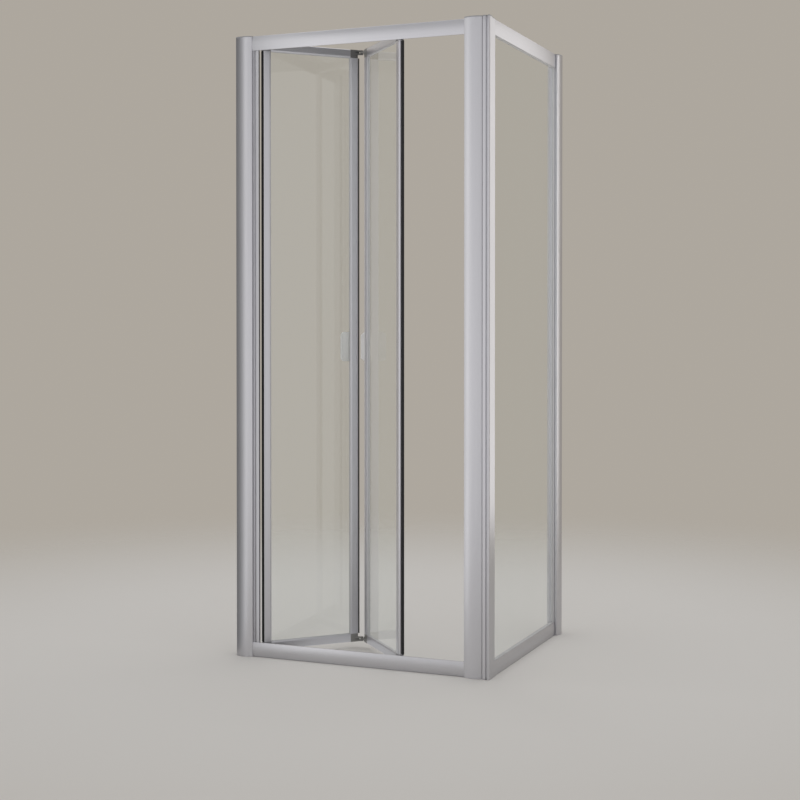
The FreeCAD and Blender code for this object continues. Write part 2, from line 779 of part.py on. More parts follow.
def leaf_corner(leaf, label, level, end, stile_edge, sight, way, face_round):
    """A moulded corner with spigots in the stile and the rail and a notch for the glass."""
    piece = new_body(label, leaf.seat)
    outer, inner = rounded_end(end, way, face_round)
    outline = leaf.facing(outer + [(sight, -leaf_half), (sight, leaf_half)] + inner)
    pad(piece, "XY_Plane", [outline], *level.stretch(zero, leaf_sight))
    floor = sight - groove_depth * way
    notch = leaf.facing(rectangle(floor, -groove_half, sight, groove_half))
    cut(piece, "XY_Plane", [notch], *level.stretch(zero, groove_depth))
    slack = leaf_wall + spigot_gap
    thick = leaf_half - slack
    spigot = leaf.facing(rectangle(stile_edge + slack * way, -thick, floor - slack * way, thick))
    pad(piece, "XY_Plane", [spigot], *level.stretch(-spigot_length, zero))
    low, height = level.stretch(groove_depth + slack, leaf_sight - slack)
    near, far = (sight, sight + spigot_length) if way > 0 else (sight - spigot_length, sight)
    pad(piece, "YZ_Plane", [rectangle(-thick, low, thick, low + height)], *leaf.span(near, far))
    return piece


def pin_corner(leaf, label, level):
    """The corner that holds a leaf's pivot or guide pin."""
    piece = leaf_corner(leaf, label, level, -leaf_inset, leaf.outer_edge, outer_sight, 1, leaf.outer_round)
    cut(piece, "XY_Plane", [pivot_bore], *level.stretch(leaf_sight - pin_hold, leaf_sight))


hinge_outline = [
    (fold_end - hinge_ear, -leaf_half), (half_span, -hinge_offset - knuckle_radius),
    Bow(half_span + knuckle_radius, -hinge_offset), (half_span, knuckle_radius - hinge_offset),
    (fold_end, hinge_ear_depth - leaf_half), (fold_end - hinge_ear, hinge_ear_depth - leaf_half)]
tongue_start = knuckle_start + knuckle_ear + knuckle_gap
tongue_end = tongue_start + knuckle_tongue
knuckle_end = tongue_end + knuckle_gap + knuckle_ear


def hinge_corner(leaf, label, level, knuckles):
    """A fold corner whose ears carry knuckles, each given by its low and high end from the sight line."""
    piece = leaf_corner(leaf, label, level, fold_end, fold_end, fold_sight, -1, leaf_round)
    for near, far in knuckles:
        pad(piece, "XY_Plane", [leaf.facing(hinge_outline)], *level.stretch(near, far))
    nose = rectangle(fold_end - leaf_round, -leaf_half, fold_end + hinge_nose, hinge_ear_depth - leaf_half)
    pad(piece, "XY_Plane", [leaf.facing(nose)], *level.stretch(knuckle_start, knuckle_end))
    bore = Ring(half_span * leaf.way, -hinge_offset, hinge_pin_radius + running_fit)
    cut(piece, "XY_Plane", [bore], *level.stretch(zero, leaf_sight))


fork = [(knuckle_start, knuckle_start + knuckle_ear), (tongue_end + knuckle_gap, knuckle_end)]
tongue = [(tongue_start, tongue_end)]

# The two leaves: stiles, rails, corners, glass and gaskets
pivot_leaf = Leaf("pivot", Seat(pivot_x, leaf_y, 0, rest_angle), 1, edge_seal - leaf_inset, leaf_round)
lead_leaf = Leaf("lead", Seat(lead_x, leaf_y, 0, rest_angle, V(0, 0, -1)), -1, -leaf_inset, lead_round)
for leaf, knuckles in ((pivot_leaf, fork), (lead_leaf, tongue)):
    leaf_stile(leaf, f"{leaf.name}_stile", leaf.outer_edge, outer_sight, 1, leaf.outer_round)
    leaf_stile(leaf, f"{leaf.name}_fold_stile", fold_end, fold_sight, -1, leaf_round)
    for level in (TOP, BOTTOM):
        leaf_rail(leaf, f"{leaf.name}_{level.name}_rail", level.edge, level.sight, level.way)
        pin_corner(leaf, f"{leaf.name}_{level.name}_corner", level)
        hinge_corner(leaf, f"{leaf.name}_{level.name}_hinge", level, knuckles)
    left, width = leaf.span(outer_sight, fold_sight)
    leaf_marks = (as_dim(left), sight_bottom, left + width, sight_top)
    pane(f"{leaf.name}_glass", leaf.seat, "XZ_Plane", leaf_marks)
    gaskets(f"{leaf.name}_gaskets", leaf.seat, "XZ_Plane", leaf_marks)

# Hinge pins at the fold
hinge_pins = new_body("fold_hinge_pins", lead_leaf.seat)
hinge_pin_outline = Ring(-half_span, -hinge_offset, hinge_pin_radius)
for level in (TOP, BOTTOM):
    pad(hinge_pins, "XY_Plane", [hinge_pin_outline], *level.stretch(knuckle_start, knuckle_end))

# Pivot pins, the lower one with the collar that carries the leaf on its block
top_pin_end = head_track_high - pin_end_gap
bottom_pin_end = rail_plate + pin_end_gap
collar_low = track_floor + bearing_gap
bottom_pin_outline = [
    (0, bottom_pin_end), (pin_radius, bottom_pin_end), (pin_radius, collar_low),
    (pin_collar_radius, collar_low), (pin_collar_radius, leaf_bottom), (pin_radius, leaf_bottom),
    (pin_radius, leaf_bottom + pin_hold), (0, leaf_bottom + pin_hold)]
turned("top_pivot_pin", pivot_leaf.seat, rectangle(0, leaf_top - pin_hold, pin_radius, top_pin_end))
turned("bottom_pivot_pin", pivot_leaf.seat, bottom_pin_outline)

# Guide pins of the lead leaf, the upper one with the flange that carries the roller
roller_high = head_track_high - roller_top_gap
roller_low = roller_high - roller_thickness
flange_high = roller_low - roller_gap
flange_low = flange_high - roller_flange
guide_pin_outline = [
    (0, leaf_top - pin_hold), (pin_radius, leaf_top - pin_hold), (pin_radius, flange_low),
    (pin_collar_radius, flange_low), (pin_collar_radius, flange_high), (pin_radius, flange_high),
    (pin_radius, top_pin_end), (0, top_pin_end)]
turned("top_guide_pin", lead_leaf.seat, guide_pin_outline)
turned("bottom_guide_pin", lead_leaf.seat, bottom_pin_outline)

# Roller in the head track and shoe in the sill's track
bore = pin_radius + running_fit
LEAD_POINT = Seat(lead_x, leaf_y)
turned("top_guide_roller", LEAD_POINT, [
    (bore, roller_low), (roller_radius - roller_crown, roller_low),
    (roller_radius, roller_low + roller_crown), (roller_radius, roller_high - roller_crown),
    (roller_radius - roller_crown, roller_high), (bore, roller_high)])
shoe_half = track_half_width - shoe_gap
shoe_reach = shoe_length / 2
shoe_straight = shoe_reach - shoe_half
shoe_outline = [(-shoe_straight, -shoe_half), (shoe_straight, -shoe_half), Bow(shoe_reach, 0),
                (shoe_straight, shoe_half), (-shoe_straight, shoe_half), Bow(-shoe_reach, 0)]
upright("bottom_guide_shoe", LEAD_POINT, [shoe_outline, pivot_bore],
        rail_plate + shoe_gap, track_floor - shoe_gap)

# Seals: beside the pivot, at the fold and on the closing edge
upright("pivot_edge_seal", pivot_leaf.seat,
        [rectangle(-leaf_inset, -leaf_half, pivot_leaf.outer_edge, leaf_half)], sight_bottom, sight_top)
fin_near = leaf_round - leaf_half
fin_outline = rectangle(fold_end, fin_near, fold_end + fold_fin, fin_near + fold_fin_thickness)
for leaf, label in ((pivot_leaf, "fold_seal"), (lead_leaf, "lead_fold_seal")):
    upright(label, leaf.seat, [leaf.facing(fin_outline)], sight_bottom, sight_top)
seal_round = lead_seal_width / 2
seal_tip = leaf_inset + lead_seal
seal_outline = [(leaf_inset, seal_near), (seal_tip - seal_round, seal_near),
                Bow(seal_tip, seal_near + seal_round), (seal_tip - seal_round, seal_far),
                (leaf_inset, seal_far)]
seal_low = rail_height + seal_clear
upright("lead_seal", lead_leaf.seat, [seal_outline], seal_low, rail_top - seal_low)

# Inner handle: a plate on the fold stile whose wing stands off the glass, with a lip to pull at
handle_half = handle_length / 2
handle_low = handle_height - handle_half
handle_high = handle_height + handle_half
wing_edge = fold_sight - handle_wing
wing_low = handle_low + handle_bevel
wing_high = handle_high - handle_bevel
handle_end = fold_end - leaf_round
inner_handle = new_body("inner_handle", pivot_leaf.seat)
plate_outline = [
    (wing_edge, wing_low), (wing_edge + handle_bevel, handle_low), (handle_end, handle_low),
    (handle_end, handle_high), (wing_edge + handle_bevel, handle_high), (wing_edge, wing_high)]
pad(inner_handle, "XZ_Plane", [plate_outline], leaf_half, handle_thickness)
pad(inner_handle, "XZ_Plane", [rectangle(wing_edge, wing_low, wing_edge + handle_lip, wing_high)],
    leaf_half - handle_lip, handle_lip)

# Outer handle: an upright plate on the lead leaf's fold stile, narrower at its free edge
pull_face = -leaf_half
outer_handle = new_body("outer_handle", lead_leaf.seat)
pull_outline = [
    (pull_face, handle_low), (pull_face - pull_rise, handle_low + pull_bevel),
    (pull_face - pull_rise, handle_high - pull_bevel), (pull_face, handle_high)]
pad(outer_handle, "YZ_Plane", [pull_outline], -handle_end, handle_thickness)

# Check everything, then write one file for each piece
doc.recompute()
for item in doc.Objects:
    faults = [state for state in item.State if state in ("Invalid", "Error")]
    if faults:
        raise RuntimeError(f"{item.Label}: {faults}")
os.makedirs("parts", exist_ok=True)
for piece in pieces:
    if piece.Shape.isNull() or not piece.Shape.isValid():
        raise RuntimeError(f"{piece.Label}: no valid shape")
for piece in pieces:
    piece.Shape.exportStep(f"parts/{piece.Label}.step")
print(f"{len(pieces)} pieces")
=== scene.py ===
"""Looks of the bifold shower door: its finishes, its small fittings, the camera and the studio."""
import json
import logging
import math
from dataclasses import dataclass
from enum import Enum
from typing import Any, Callable

import bmesh
import bpy
from mathutils import Euler, Matrix, Vector


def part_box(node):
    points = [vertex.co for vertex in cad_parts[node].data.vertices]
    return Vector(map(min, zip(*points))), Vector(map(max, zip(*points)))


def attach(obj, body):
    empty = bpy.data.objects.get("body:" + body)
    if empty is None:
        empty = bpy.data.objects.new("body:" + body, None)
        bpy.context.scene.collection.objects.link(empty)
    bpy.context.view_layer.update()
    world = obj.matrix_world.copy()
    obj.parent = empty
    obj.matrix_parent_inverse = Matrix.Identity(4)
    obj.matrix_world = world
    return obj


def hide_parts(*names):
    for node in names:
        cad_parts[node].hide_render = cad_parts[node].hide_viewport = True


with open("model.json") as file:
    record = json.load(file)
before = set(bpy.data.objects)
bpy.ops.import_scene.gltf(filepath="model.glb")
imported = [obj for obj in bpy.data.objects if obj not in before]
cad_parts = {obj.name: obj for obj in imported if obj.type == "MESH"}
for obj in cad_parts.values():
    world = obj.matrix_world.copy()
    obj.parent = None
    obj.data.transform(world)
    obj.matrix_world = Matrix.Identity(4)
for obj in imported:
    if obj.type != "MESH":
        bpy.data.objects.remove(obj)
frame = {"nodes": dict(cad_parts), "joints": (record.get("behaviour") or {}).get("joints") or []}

Triple = tuple[float, float, float]
Colour = Triple
Corner = Triple
Band = tuple[float, float]

LOG = logging.getLogger("shower_door")
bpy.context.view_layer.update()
REST_ANGLE = math.radians(47.1)
QUARTER_TURN = math.pi / 2
SMOOTH_ANGLE = math.radians(35.0)
BEVEL_ANGLE = math.radians(40.0)
ALIGNED = 0.99  # least dot product of a face's normal with the way that it points
TINY = 1e-6
NOISE_MEAN = 0.5
MIX_FIRST, MIX_SECOND, MIX_RESULT = 6, 7, 2  # a Mix node's sockets for colours


class Slot(Enum):
    """The record's material slots that would suit the new pieces; the script gives none of them out."""

    MOULDING = "grey_moulding"
    STEEL = "steel"
    HANDLE = "frosted_handle"


class Run(Enum):
    """The way along which a profile was drawn."""

    UPRIGHT = "upright"
    ACROSS = "across"
    DEEP = "deep"
    PIVOT_LEAF = "pivot_leaf"
    LEAD_LEAF = "lead_leaf"

    def turn(self) -> Triple:
        """Return the turn that brings the run onto the pattern's long axis."""
        turns = {Run.UPRIGHT: (0.0, QUARTER_TURN, 0.0), Run.ACROSS: (0.0, 0.0, 0.0),
                 Run.DEEP: (0.0, 0.0, -QUARTER_TURN), Run.PIVOT_LEAF: (0.0, 0.0, -REST_ANGLE),
                 Run.LEAD_LEAF: (0.0, 0.0, REST_ANGLE)}
        return turns[self]


@dataclass(frozen=True)
class Pattern:
    """A noise on Object coordinates, stretched along each axis."""

    stretch: Triple = (1.0, 1.0, 1.0)
    scale: float = 1.0
    detail: float = 2.0
    roughness: float = 0.5


@dataclass(frozen=True)
class Relief:
    """How strongly and how deep a bump shows."""

    strength: float
    depth: float


class Value:
    """A number on a shader socket that adds Math nodes when it is used in an expression."""

    def __init__(self, tree: "Tree", socket: bpy.types.NodeSocket) -> None:
        """Keep the socket and the tree that it belongs to."""
        self.tree = tree
        self.socket = socket

    def _math(self, operation: str, first: Any, second: Any) -> "Value":
        """Add one Math node and return its result."""
        node = self.tree.node("ShaderNodeMath", {"operation": operation}, {0: first, 1: second})
        return Value(self.tree, node.outputs[0])

    def __add__(self, other: Any) -> "Value":
        """Add a number or a Value."""
        return self._math("ADD", self, other)

    def __radd__(self, other: Any) -> "Value":
        """Add to a number."""
        return self._math("ADD", other, self)

    def __sub__(self, other: Any) -> "Value":
        """Take a number or a Value away."""
        return self._math("SUBTRACT", self, other)

    def __rsub__(self, other: Any) -> "Value":
        """Take from a number."""
        return self._math("SUBTRACT", other, self)

    def __mul__(self, other: Any) -> "Value":
        """Multiply by a number or a Value."""
        return self._math("MULTIPLY", self, other)

    def __rmul__(self, other: Any) -> "Value":
        """Multiply a number."""
        return self._math("MULTIPLY", other, self)


def opaque(colour: Colour) -> tuple[float, float, float, float]:
    """Return a colour with full alpha, as sockets take it."""
    return (*colour, 1.0)


class Tree:
    """The nodes of one material or of the world."""

    def __init__(self, owner: Any) -> None:
        """Empty the owner's nodes.

        Args:
            owner: The material or the world.
        """
        owner.use_nodes = True
        self.tree = owner.node_tree
        self.tree.nodes.clear()

    def node(self, kind: str, settings: dict[str, Any] | None = None,
             sockets: dict[Any, Any] | None = None) -> bpy.types.Node:
        """Add any node.

        Args:
            kind: The node's type.
            settings: Its settings, with "stops" for a ramp's places and colours.
            sockets: Numbers, colours, sockets or Values for its inputs, by name or number.

        Returns:
            The new node.
        """
        made = self.tree.nodes.new(kind)
        for name, setting in (settings or {}).items():
            if name == "stops":
                self._ramp(made, setting)
            else:
                setattr(made, name, setting)
        for name, given in (sockets or {}).items():
            given = given.socket if isinstance(given, Value) else given
            if isinstance(given, bpy.types.NodeSocket):
                self.tree.links.new(given, made.inputs[name])
            else:
                made.inputs[name].default_value = given
        return made

    @staticmethod
    def _ramp(made: bpy.types.Node, stops: list[tuple[float, tuple[float, ...]]]) -> None:
        """Set a ramp's stops.

        Args:
            made: The ramp's node.
            stops: The places along the ramp, each with its colour.
        """
        elements = made.color_ramp.elements
        while len(elements) < len(stops):
            elements.new(1.0)
        for element, (place, colour) in zip(elements, stops):
            element.position = place
            element.color = colour

    def value(self, kind: str, settings: dict[str, Any] | None = None,
              sockets: dict[Any, Any] | None = None, output: Any = 0) -> Value:
        """Add any node and return one of its outputs as a Value."""
        return Value(self, self.node(kind, settings, sockets).outputs[output])

    def spot(self) -> bpy.types.NodeSocket:
        """Return the Object coordinates."""
        return self.node("ShaderNodeTexCoord").outputs["Object"]

    def noise(self, pattern: Pattern, turn: Triple = (0.0, 0.0, 0.0)) -> Value:
        """Lay a noise over the piece.

        Args:
            pattern: The noise's stretch, scale and grain.
            turn: The turn of the coordinates before they are stretched.

        Returns:
            A number between 0 and 1.
        """
        turned = self.node("ShaderNodeMapping", None, {"Vector": self.spot(), "Rotation": turn})
        stretched = self.node("ShaderNodeMapping", None,
                              {"Vector": turned.outputs[0], "Scale": pattern.stretch})
        return self.value("ShaderNodeTexNoise", None,
                          {"Vector": stretched.outputs[0], "Scale": pattern.scale,
                           "Detail": pattern.detail, "Roughness": pattern.roughness})

    def rise(self, given: bpy.types.NodeSocket | Value, band: Band) -> Value:
        """Return a smooth rise from 0 to 1 over a band of a number."""
        return self.value("ShaderNodeMapRange", {"interpolation_type": "SMOOTHSTEP"},
                          {"Value": given, "From Min": band[0], "From Max": band[1]})

    def mix(self, factor: Value, first: Any, second: Any) -> bpy.types.NodeSocket:
        """Mix two colours.

        Args:
            factor: The share of the second colour.
            first: A colour or a socket.
            second: A colour or a socket.

        Returns:
            The mixed colour's socket.
        """
        sockets: dict[Any, Any] = {0: factor}
        for index, colour in ((MIX_FIRST, first), (MIX_SECOND, second)):
            sockets[index] = colour if isinstance(colour, bpy.types.NodeSocket) else opaque(colour)
        return self.node("ShaderNodeMix", {"data_type": "RGBA"}, sockets).outputs[MIX_RESULT]

    def bump(self, height: Value, relief: Relief) -> bpy.types.NodeSocket:
        """Return a normal bumped by a height."""
        return self.node("ShaderNodeBump", None, {"Height": height, "Strength": relief.strength,
                                                  "Distance": relief.depth}).outputs[0]

    def end(self, shader: bpy.types.Node, output: str = "ShaderNodeOutputMaterial") -> None:
        """End the tree with a shader."""
        self.node(output, None, {"Surface": shader.outputs[0]})

    def surface(self, sockets: dict[str, Any]) -> None:
        """End the tree with a Principled shader."""
        self.end(self.node("ShaderNodeBsdfPrincipled", None, sockets))


@dataclass(frozen=True)
class Finish:
    """A finish that can be made into a material."""

    name: str

    def material(self) -> bpy.types.Material:
        """Make the finish's material on its first use.

        Returns:
            The material.
        """
        found = bpy.data.materials.get(self.name)
        if found is None:
            found = bpy.data.materials.new(self.name)
            self.paint(Tree(found))
        return found

    def paint(self, tree: Tree) -> None:
        """Fill the material's nodes."""
        raise NotImplementedError


@dataclass(frozen=True)
class SatinAluminium(Finish):
    """Drawn aluminium, etched and anodised, with faint die lines along its run."""

    run: Run = Run.UPRIGHT
    colour: Colour = (0.605, 0.60, 0.622)
    shade: Colour = (0.555, 0.551, 0.571)
    roughness: float = 0.40
    rough_by_lines: float = 0.10
    rough_by_cloud: float = 0.08
    lines: Pattern = Pattern((4.0, 900.0, 900.0), detail=3.0, roughness=0.6)
    bands: Pattern = Pattern((1.5, 160.0, 160.0))
    cloud: Pattern = Pattern(scale=7.0, detail=3.0)
    grain: Pattern = Pattern(scale=2600.0, detail=1.0)
    band_share: float = 0.55
    line_share: float = 0.7
    relief: Relief = Relief(0.06, 0.0004)

    def paint(self, tree: Tree) -> None:
        """Lay die lines and a soft cloud over a metal.

        Args:
            tree: The material's empty nodes.
        """
        turn = self.run.turn()
        lines, bands = tree.noise(self.lines, turn), tree.noise(self.bands, turn)
        cloud, grain = tree.noise(self.cloud), tree.noise(self.grain)
        tone = self.band_share * bands + (1 - self.band_share) * cloud
        rough = (self.roughness + self.rough_by_lines * (lines - NOISE_MEAN)
                 + self.rough_by_cloud * (cloud - NOISE_MEAN))
        height = self.line_share * lines + (1 - self.line_share) * grain
        tree.surface({"Base Color": tree.mix(tone, self.shade, self.colour), "Metallic": 1.0,
                      "Roughness": rough, "Normal": tree.bump(height, self.relief)})


@dataclass(frozen=True)
class ClearGlass(Finish):
    """Clear toughened glass with faint marks of wiping."""

    colour: Colour = (0.975, 0.99, 0.983)
    shade: Colour = (0.955, 0.98, 0.968)
    wipes: Pattern = Pattern((22.0, 22.0, 1.6), detail=3.0)
    rough_by_wipes: float = 0.012
    ior: float = 1.46

    def paint(self, tree: Tree) -> None:
        """Make a clear shader whose gloss is faintly uneven.

        Args:
            tree: The material's empty nodes.
        """
        wipes = tree.noise(self.wipes)
        tree.surface({"Base Color": tree.mix(wipes, self.shade, self.colour),
                      "Roughness": self.rough_by_wipes * wipes,
                      "Transmission Weight": 1.0, "IOR": self.ior})


@dataclass(frozen=True)
class BlackRubber(Finish):
    """Extruded rubber, matt and faintly streaked."""

    colour: Colour = (0.009, 0.009, 0.010)
    bloom: Colour = (0.020, 0.020, 0.021)
    streaks: Pattern = Pattern((90.0, 90.0, 9.0), detail=3.0)
    grain: Pattern = Pattern(scale=1500.0)
    roughness: float = 0.58
    rough_by_streaks: float = 0.2
    specular: float = 0.25
    relief: Relief = Relief(0.15, 0.0003)

    def paint(self, tree: Tree) -> None:
        """Give a soft surface a faint bloom.

        Args:
            tree: The material's empty nodes.
        """
        streaks = tree.noise(self.streaks)
        tree.surface({"Base Color": tree.mix(streaks, self.colour, self.bloom),
                      "Roughness": self.roughness + self.rough_by_streaks * streaks,
                      "Normal": tree.bump(tree.noise(self.grain), self.relief),
                      "Specular IOR Level": self.specular})


@dataclass(frozen=True)
class Moulding(Finish):
    """Moulded plastic with a fine sparked texture."""

    colour: Colour
    shade: Colour
    roughness: float = 0.48
    rough_by_grain: float = 0.12
    grain: Pattern = Pattern(scale=1300.0)
    cloud: Pattern = Pattern(scale=40.0, detail=3.0)
    relief: Relief = Relief(0.2, 0.0003)

    def paint(self, tree: Tree) -> None:
        """Give a plain plastic a fine grain.

        Args:
            tree: The material's empty nodes.
        """
        grain, cloud = tree.noise(self.grain), tree.noise(self.cloud)
        tree.surface({"Base Color": tree.mix(cloud, self.shade, self.colour),
                      "Roughness": self.roughness + self.rough_by_grain * (grain - NOISE_MEAN),
                      "Normal": tree.bump(grain, self.relief)})


@dataclass(frozen=True)
class TurnedSteel(Finish):
    """Turned stainless steel."""

    colour: Colour = (0.48, 0.48, 0.49)
    shade: Colour = (0.40, 0.40, 0.41)
    rings: Pattern = Pattern((60.0, 60.0, 2600.0))
    roughness: float = 0.2
    rough_by_rings: float = 0.14
    relief: Relief = Relief(0.1, 0.0002)

    def paint(self, tree: Tree) -> None:
        """Lay fine rings along the pin.

        Args:
            tree: The material's empty nodes.
        """
        rings = tree.noise(self.rings)
        tree.surface({"Base Color": tree.mix(rings, self.shade, self.colour), "Metallic": 1.0,
                      "Roughness": self.roughness + self.rough_by_rings * rings,
                      "Normal": tree.bump(rings, self.relief)})


@dataclass(frozen=True)
class FrostedPlastic(Finish):
    """Pale translucent plastic."""

    colour: Colour = (0.93, 0.93, 0.92)
    shade: Colour = (0.89, 0.89, 0.88)
    clearness: float = 0.35
    cloud: Pattern = Pattern(scale=60.0, detail=3.0)
    grain: Pattern = Pattern(scale=900.0)
    roughness: float = 0.42
    rough_by_cloud: float = 0.1
    ior: float = 1.3
    relief: Relief = Relief(0.05, 0.0003)

    def paint(self, tree: Tree) -> None:
        """Let light through, but blurred.

        Args:
            tree: The material's empty nodes.
        """
        cloud = tree.noise(self.cloud)
        tree.surface({"Base Color": tree.mix(cloud, self.shade, self.colour),
                      "Roughness": self.roughness + self.rough_by_cloud * cloud,
                      "Transmission Weight": self.clearness, "IOR": self.ior,
                      "Normal": tree.bump(tree.noise(self.grain), self.relief)})


def aluminium(run: Run) -> SatinAluminium:
    """Return the aluminium finish for a run."""
    return SatinAluminium(f"satin_aluminium_{run.value}", run)


GLASS = ClearGlass("clear_toughened_glass")
RUBBER = BlackRubber("black_extruded_rubber")
FOLD_RUBBER = BlackRubber("grey_fold_rubber", (0.055, 0.050, 0.046), (0.080, 0.074, 0.069))
GASKET = BlackRubber("grey_glazing_gasket", (0.60, 0.60, 0.60), (0.68, 0.68, 0.68))
# Painted shade: a darker copy of the hinge moulding that stands in for the shade under the head rail.
SHADE_PAINTED_CORNER = Moulding("shade_painted_corner_moulding", (0.12, 0.117, 0.113), (0.09, 0.088, 0.085))
PALE_CORNER = Moulding("pale_corner_moulding", (0.26, 0.256, 0.242), (0.22, 0.217, 0.206), 0.42)
SILVER_CAP = Moulding("silver_cap_moulding", (0.32, 0.32, 0.33), (0.28, 0.28, 0.29), 0.42)
NYLON = Moulding("natural_nylon", (0.72, 0.72, 0.69), (0.66, 0.66, 0.63), 0.44)
STEEL = TurnedSteel("turned_stainless_steel")
FROSTED = FrostedPlastic("frosted_handle_plastic")
MILKY = FrostedPlastic("milky_handle_plastic", (0.94, 0.93, 0.91), (0.91, 0.90, 0.88), 0.12)


@dataclass
class Dressing:
    """The finishes of the CAD nodes, by how their names end. The first rule that fits holds."""

    rules: tuple[tuple[tuple[str, ...], Finish], ...] = (
        (("head_rail", "sill"), aluminium(Run.ACROSS)),
        (("side_top_rail", "side_bottom_rail"), aluminium(Run.DEEP)),
        (("pivot_top_rail", "pivot_bottom_rail"), aluminium(Run.PIVOT_LEAF)),
        (("lead_top_rail", "lead_bottom_rail"), aluminium(Run.LEAD_LEAF)),
        (("_glass",), GLASS),
        (("gaskets",), GASKET),
        (("fold_seal",), FOLD_RUBBER),
        (("seal", "stops", "magnet"), RUBBER),
        (("_cap", "_corner"), SILVER_CAP),
        # Painted shade: the pivot leaf's top hinge takes the darker, shaded copy of the hinge moulding.
        (("pivot_top_hinge",), SHADE_PAINTED_CORNER),
        (("_hinge",), PALE_CORNER),
        (("_block", "_roller", "_shoe"), NYLON),
        (("_pin", "_pins"), STEEL),
        (("_handle",), FROSTED))
    other: Finish = aluminium(Run.UPRIGHT)

    def finish(self, name: str) -> Finish:
        """Return the finish of the node that has a name."""
        return next((finish for endings, finish in self.rules if name.endswith(endings)), self.other)

    def build(self) -> None:
        """Put the finishes on the nodes, and let light pass through the glass."""
        for name, node in frame["nodes"].items():
            finish = self.finish(name)
            node.data.materials.clear()
            node.data.materials.append(finish.material())
            if finish is GLASS:
                node.visible_shadow = False
                node.visible_diffuse = False
        LOG.info("dressed %d nodes", len(frame["nodes"]))


class Pick(Enum):
    """What a selection in edit mode takes."""

    FACES = "FACE"
    EDGES = "EDGE"


def open_for_editing(name: str) -> bpy.types.Object:
    """Keep the size and place of the primitive that was just added in its mesh, and open it.

    Args:
        name: The piece's name.

    Returns:
        The piece, open for editing.
    """
    piece = bpy.context.object
    piece.name = name
    bpy.ops.object.transform_apply(location=True, rotation=True, scale=True)
    bpy.ops.object.mode_set(mode="EDIT")
    return piece


def block(name: str, low: Corner, high: Corner) -> bpy.types.Object:
    """Add a cube between two corners.

    Args:
        name: The piece's name.
        low: Its lowest corner.
        high: Its highest corner.

    Returns:
        The piece, open for editing.
    """
    bpy.ops.object.select_all(action="DESELECT")
    bpy.ops.mesh.primitive_cube_add(size=1.0, location=[(a + b) / 2 for a, b in zip(low, high)])
    bpy.context.object.scale = [b - a for a, b in zip(low, high)]
    return open_for_editing(name)


def pick(piece: bpy.types.Object, kind: Pick, wanted: Callable[[Any], bool]) -> None:
    """Select the faces or edges that pass a test.

    Args:
        piece: The piece that is open for editing.
        kind: Faces or edges.
        wanted: The test.
    """
    bpy.ops.mesh.select_mode(type=kind.value)
    bpy.ops.mesh.select_all(action="DESELECT")
    mesh = bmesh.from_edit_mesh(piece.data)
    for part in mesh.faces if kind is Pick.FACES else mesh.edges:
        part.select_set(wanted(part))
    mesh.select_flush_mode()
    bmesh.update_edit_mesh(piece.data)


def facing(way: Corner, there: Callable[[Vector], bool] = lambda middle: True) -> Callable[[Any], bool]:
    """Return a test for faces that point a way and whose middle passes a further test."""
    return lambda face: face.normal.dot(Vector(way)) > ALIGNED and there(face.calc_center_median())


def slice_at(spot: Corner, way: Corner) -> None:
    """Cut new edges right through the piece that is open for editing."""
    bpy.ops.mesh.select_all(action="SELECT")
    bpy.ops.mesh.bisect(plane_co=spot, plane_no=way)


def draw_out(way: Corner) -> None:
    """Extrude what is selected."""
    bpy.ops.mesh.extrude_region_move(TRANSFORM_OT_translate={"value": way})


def soften(piece: bpy.types.Object, width: float, segments: int) -> None:
    """Close a piece after editing, round its sharp edges and shade it smooth between them.

    Args:
        piece: The active piece.
        width: The rounding's width.
        segments: How many faces the rounding has.
    """
    bpy.ops.object.mode_set(mode="OBJECT")
    rounding = piece.modifiers.new("soft_edges", "BEVEL")
    rounding.width = width
    rounding.segments = segments
    rounding.limit_method = "ANGLE"
    rounding.angle_limit = BEVEL_ANGLE
    bpy.ops.object.modifier_apply(modifier=rounding.name)
    bpy.ops.object.mode_set(mode="EDIT")
    bpy.ops.mesh.select_all(action="SELECT")
    bpy.ops.mesh.remove_doubles(threshold=TINY)
    bpy.ops.object.mode_set(mode="OBJECT")
    bpy.ops.object.shade_smooth_by_angle(angle=SMOOTH_ANGLE)


def settle(piece: bpy.types.Object, place: Matrix, body: str, finish: Finish) -> None:
    """Put a finished piece in its place, dress it and let it ride on its body.

    Args:
        piece: The finished piece.
        place: Where its own axes stand.
        body: The body that it moves with.
        finish: Its finish.
    """
    piece.data.transform(place)
    piece.data.materials.clear()
    piece.data.materials.append(finish.material())
    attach(piece, body)
    LOG.info("made %s", piece.name)


def pin_place(joint: str, turn: float) -> Matrix:
    """Return the axes of a leaf at the pin of a joint, turned about it."""
    spot = next(Vector(row["pos_m"]) for row in frame["joints"] if row["name"] == joint)
    return Matrix.Translation((spot.x, spot.y, 0.0)) @ Matrix.Rotation(turn, 4, "Z")


